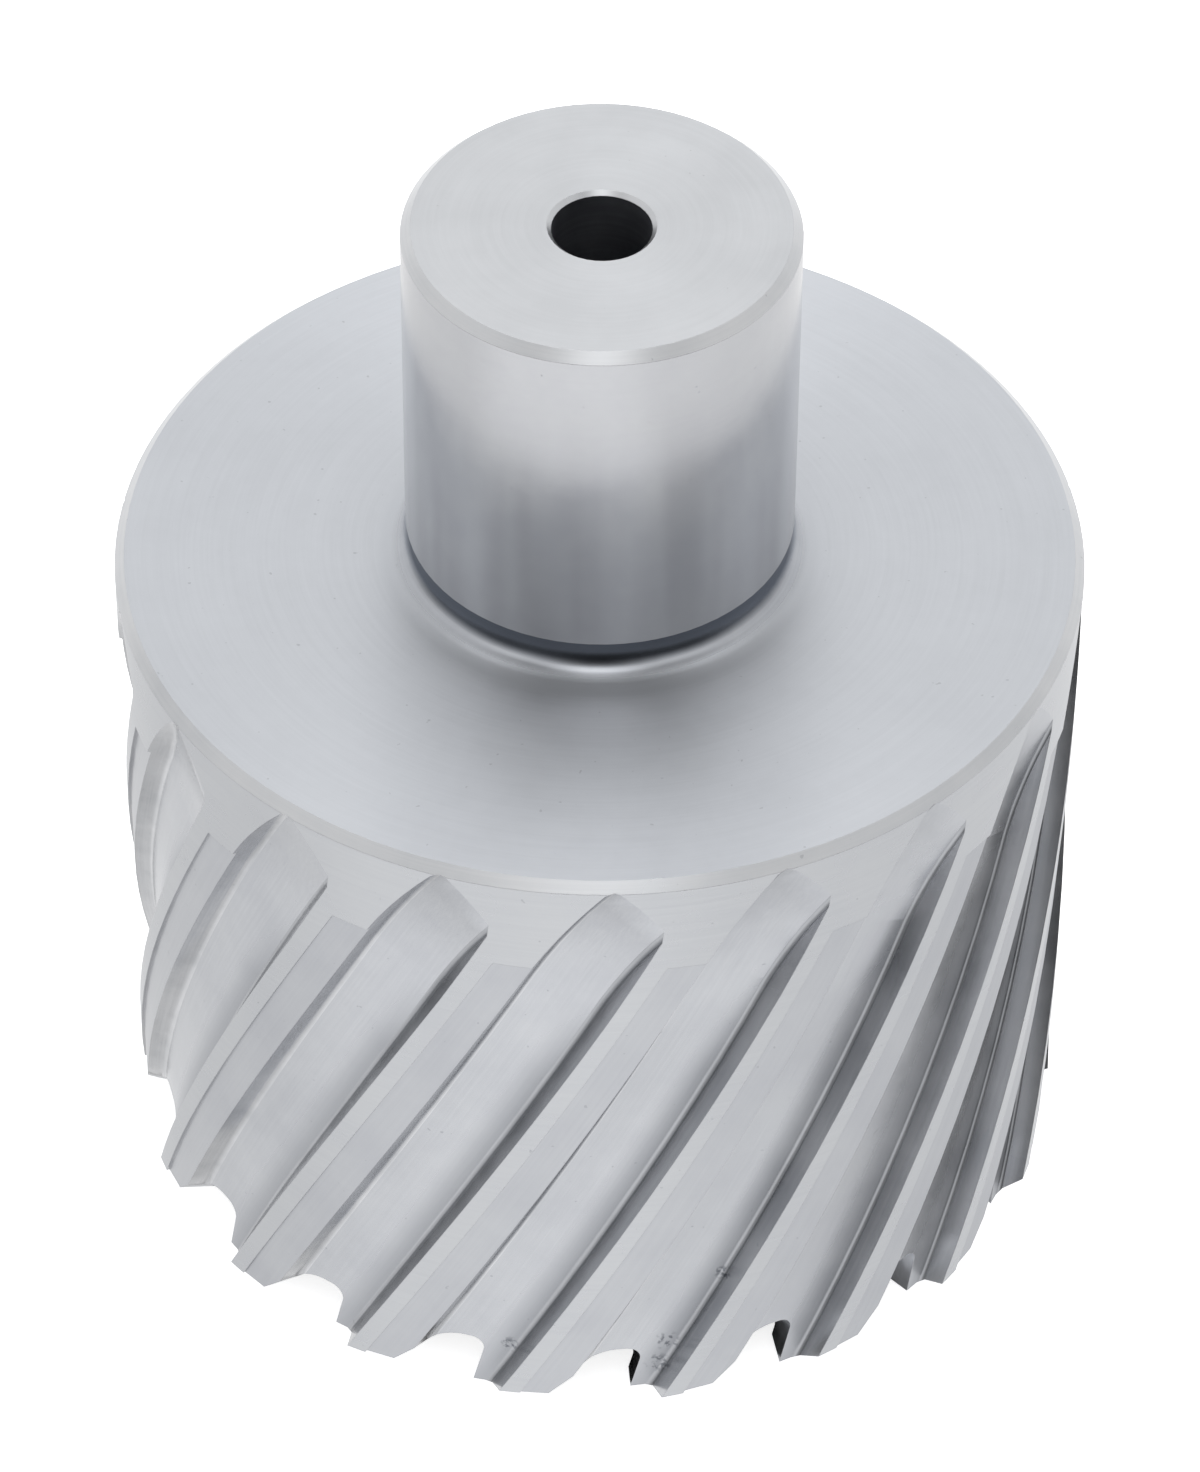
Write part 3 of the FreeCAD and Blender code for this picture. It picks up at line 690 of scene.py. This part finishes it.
# %% The walls of the tent
# One wall for every eighth of a turn: (height in degrees, brightness) as seen from the cutter.
TENT = {
    "front": (
        (-90, 0.5), (-76, 0.8), (-60, 1.1), (-42, 1.2), (-25, 1.15), (-12, 0.95), (-5, 0.35),
        (0, 0.06), (24, 0.03), (32, 0.15), (37, 0.7), (42, 1.6), (53, 1.6), (60, 1.1), (68, 0.85),
        (90, 0.6)),
    "front right": (
        (-90, 0.5), (-72, 0.75), (-58, 1.0), (-45, 1.1), (-25, 0.95), (-12, 0.5), (-3, 0.2),
        (4, 0.1), (10, 0.1), (19, 0.35), (26, 0.7), (33, 1.0), (42, 0.8), (50, 0.5), (60, 0.45),
        (75, 0.45), (90, 0.6)),
    "right": (
        (-90, 0.5), (-72, 0.7), (-55, 0.95), (-45, 1.0), (-30, 0.95), (-12, 0.8), (0, 0.55),
        (10, 0.6), (25, 0.8), (45, 0.75), (62, 0.6), (75, 0.6), (90, 0.6)),
    "back right": (
        (-90, 0.5), (-72, 0.7), (-55, 0.95), (-45, 1.0), (-20, 1.05), (0, 0.9), (20, 0.95),
        (45, 0.7), (58, 0.8), (66, 1.6), (80, 1.6), (90, 0.6)),
    "back": (
        (-90, 0.5), (-60, 0.9), (-45, 1.0), (-25, 1.2), (0, 1.2), (20, 1.1), (45, 1.05),
        (56, 1.3), (63, 2.8), (80, 2.8), (90, 0.6)),
    "back left": (
        (-90, 0.5), (-72, 0.65), (-58, 0.82), (-47, 0.9), (-20, 1.05), (0, 0.9), (20, 0.95),
        (45, 0.7), (58, 0.8), (66, 1.6), (80, 1.6), (90, 0.6)),
    "left": (
        (-90, 0.5), (-72, 0.65), (-58, 0.86), (-47, 0.97), (-30, 0.9), (-12, 0.62), (0, 0.42),
        (8, 0.47), (22, 0.85), (35, 0.85), (50, 0.75), (62, 0.6), (75, 0.6), (90, 0.6)),
    "front left": (
        (-90, 0.5), (-72, 0.75), (-58, 1.0), (-48, 1.15), (-25, 1.15), (-14, 0.75), (-6, 0.25),
        (4, 0.15), (10, 0.2), (19, 0.4), (26, 0.75), (33, 1.05), (42, 0.85), (50, 0.5), (60, 0.45),
        (75, 0.45), (90, 0.6)),
}
BRIGHTEST = 4.0     # the ramps hold shares of this, so their colours stay between 0 and 1
print("walls:", ", ".join(TENT))

# %% [markdown]
# ## Joining the walls
#
# Walls with hard sides would leave upright seams in the steel. So a wall's share of the light
# falls off to both sides as the squared cosine of twice the angle, and is gone at the middle of
# the next wall. The shares of two neighbours then add up to one, and no seam shows.

# %% Light
world = bpy.data.worlds.new("light_tent")
bpy.context.scene.world = world
world.use_nodes = True
out = add(world, "ShaderNodeTexCoord").outputs["Generated"]
level = add(world, "ShaderNodeVectorMath", {"operation": "MULTIPLY"}, _0=out, _1=(1, 1, 0))
level = add(world, "ShaderNodeVectorMath", {"operation": "NORMALIZE"}, _0=level.outputs[0])
height = add(world, "ShaderNodeSeparateXYZ", _0=out).outputs["Z"]
height = add(world, "ShaderNodeMath", {"operation": "ARCSINE"}, _0=height)
height = add(world, "ShaderNodeMapRange", _0=height.outputs[0], _1=-math.pi / 2, _2=math.pi / 2)
total = 0.0
for eighth, stops in enumerate(TENT.values()):
    turn = eighth * math.pi / 4
    facing = add(world, "ShaderNodeVectorMath", {"operation": "DOT_PRODUCT"},
                 _0=level.outputs[0], _1=(math.sin(turn), -math.cos(turn), 0))
    ahead = add(world, "ShaderNodeMath", {"operation": "MAXIMUM"},
                _0=facing.outputs["Value"], _1=0.0)
    squared = add(world, "ShaderNodeMath", {"operation": "MULTIPLY"},
                  _0=ahead.outputs[0], _1=ahead.outputs[0])
    double = add(world, "ShaderNodeMath", {"operation": "MULTIPLY_ADD", "use_clamp": True},
                 _0=squared.outputs[0], _1=2.0, _2=-1.0)
    share = add(world, "ShaderNodeMath", {"operation": "POWER"}, _0=double.outputs[0], _1=2.0)
    wall = add(world, "ShaderNodeValToRGB", _0=height.outputs[0])
    ramp = wall.color_ramp
    while len(ramp.elements) < len(stops):
        ramp.elements.new(0.5)
    for stop, (degrees, value) in zip(ramp.elements, stops):
        stop.position = (degrees + 90) / 180
        stop.color = [value / BRIGHTEST] * 3 + [1.0]
    total = add(world, "ShaderNodeMath", {"operation": "MULTIPLY_ADD"},
                _0=wall.outputs["Color"], _1=share.outputs[0], _2=total).outputs[0]
tent = add(world, "ShaderNodeMath", {"operation": "MULTIPLY"}, _0=total, _1=BRIGHTEST)
looked_at = add(world, "ShaderNodeLightPath").outputs["Is Camera Ray"]
strength = add(world, "ShaderNodeMix", _0=looked_at, _2=tent.outputs[0], _3=1.0)
fill(world, world.node_tree.nodes["Background"], Color=linear("#ffffff"),
     Strength=strength.outputs[0])
bpy.context.scene.view_settings.view_transform = "Standard"
print("tent nodes:", len(world.node_tree.nodes))
